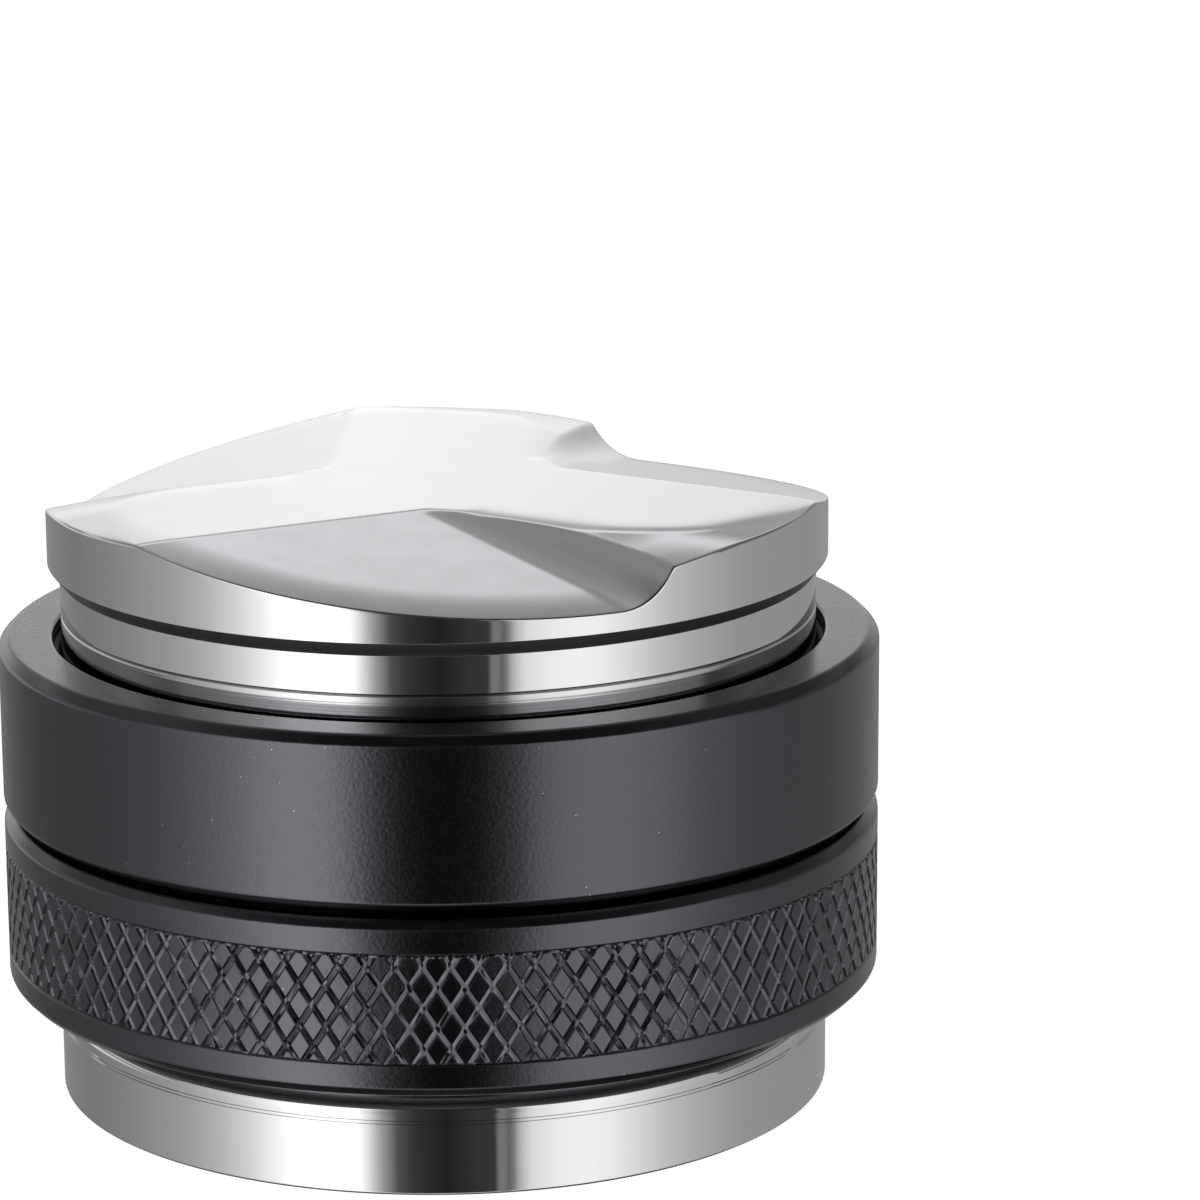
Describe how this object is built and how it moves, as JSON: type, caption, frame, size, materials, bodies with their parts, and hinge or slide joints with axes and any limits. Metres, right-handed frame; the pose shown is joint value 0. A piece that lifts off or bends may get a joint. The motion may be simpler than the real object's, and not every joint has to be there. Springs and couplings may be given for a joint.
{
  "type": "espresso tamper",
  "caption": "Dual-head palm tamper: flat tamping face below, bladed levelling face above, and depth collars that screw along a threaded core.",
  "frame": {"origin": "centre of the flat tamping face, on the surface that the tool stands on", "axes": "+Z along the turning axis, up through the bladed levelling face"},
  "size_m": [0.06, 0.06, 0.0417],
  "materials": {
    "polished_steel": "fine satin-polished stainless steel",
    "turned_steel": "fine-turned stainless steel",
    "black_anodised": "bead-blasted and black anodised",
    "black_rubber": "moulded nitrile rubber",
    "fastener_steel": "bright stainless fastener"
  },
  "bodies": {
    "core": {"threaded_core": "turned_steel", "distributor_head": "polished_steel", "tamper_base": "polished_steel", "head_seal_ring": "black_rubber", "base_seal_ring": "black_rubber", "tie_stud": "fastener_steel", "tie_washer": "fastener_steel", "tie_nut": "fastener_steel"},
    "distributor_ring": {"distributor_drag_ring": "black_rubber"},
    "distributor_collar": {"distributor_collar": "black_anodised"},
    "tamper_ring": {"tamper_drag_ring": "black_rubber"},
    "tamper_collar": {"tamper_collar": "black_anodised"}
  },
  "joints": [
    {"name": "distributor_collar_climb", "type": "slide", "parent": "core", "child": "distributor_ring", "axis": [0, 0, 1], "range_m": [0, 0.0045]},
    {"name": "distributor_collar_turn", "type": "hinge", "parent": "distributor_ring", "child": "distributor_collar", "pos_m": [0, 0, 0.026], "axis": [0, 0, 1], "range_deg": [0, 1620]},
    {"name": "tamper_collar_climb", "type": "slide", "parent": "core", "child": "tamper_ring", "axis": [0, 0, 1], "range_m": [-0.0015, 0]},
    {"name": "tamper_collar_turn", "type": "hinge", "parent": "tamper_ring", "child": "tamper_collar", "pos_m": [0, 0, 0.0138], "axis": [0, 0, 1], "range_deg": [-540, 0]}
  ],
  "couplings": [
    {"joint": "distributor_collar_climb", "follows": "distributor_collar_turn", "m_per_rad": 0.00015915},
    {"joint": "tamper_collar_climb", "follows": "tamper_collar_turn", "m_per_rad": 0.00015915}
  ]
}
